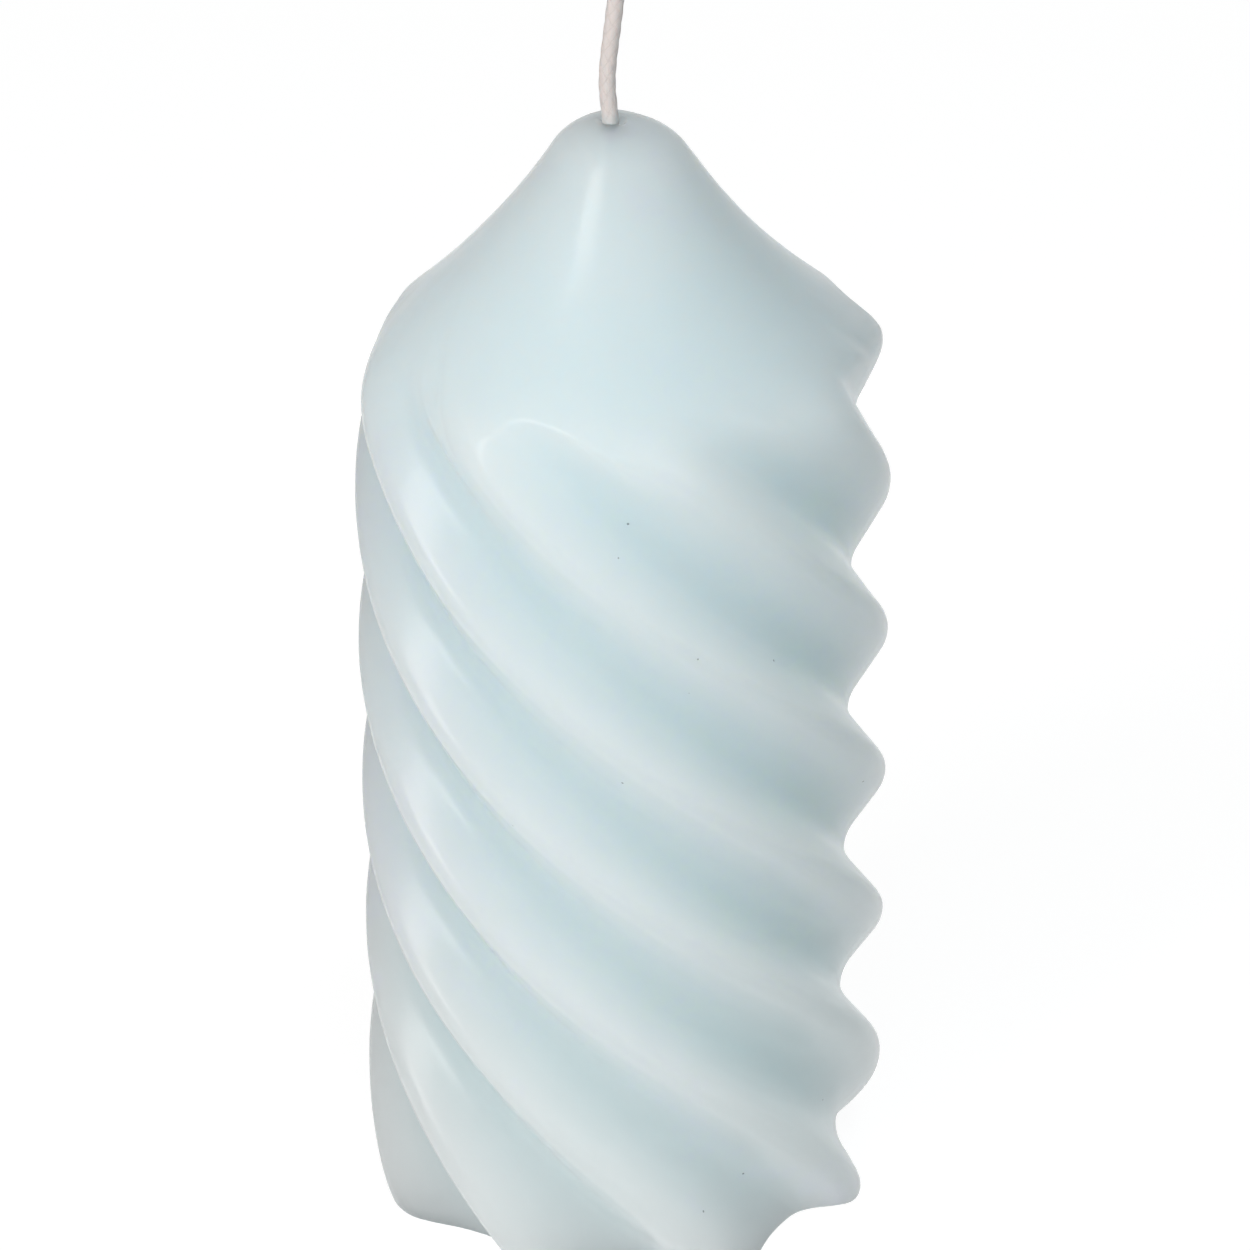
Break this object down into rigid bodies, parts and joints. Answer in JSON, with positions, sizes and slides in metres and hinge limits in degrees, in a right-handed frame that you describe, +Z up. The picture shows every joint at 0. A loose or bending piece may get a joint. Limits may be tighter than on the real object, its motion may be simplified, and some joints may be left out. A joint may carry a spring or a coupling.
{
  "type": "pillar candle",
  "caption": "Moulded wax pillar candle with twisted ridges under a smooth cone top, a braided cotton wick and a pressed wick sustainer in its foot.",
  "frame": {"origin": "the middle of the flat foot, on the surface that the candle stands on", "axes": "+Z up along the pillar's axis; the pictured side faces -Y, with +X to its right"},
  "size_m": [0.07, 0.07, 0.1823],
  "materials": {
    "wax": "moulded paraffin wax, pale ice white, satin and slightly translucent",
    "cotton": "braided cotton primed with clear wax, warm off-white",
    "tinplate": "thin tin-plated steel, pressed, dull bright"
  },
  "bodies": {
    "root": {"wax_body": "wax", "wick": "cotton", "wick_sustainer": "tinplate"}
  },
  "joints": []
}
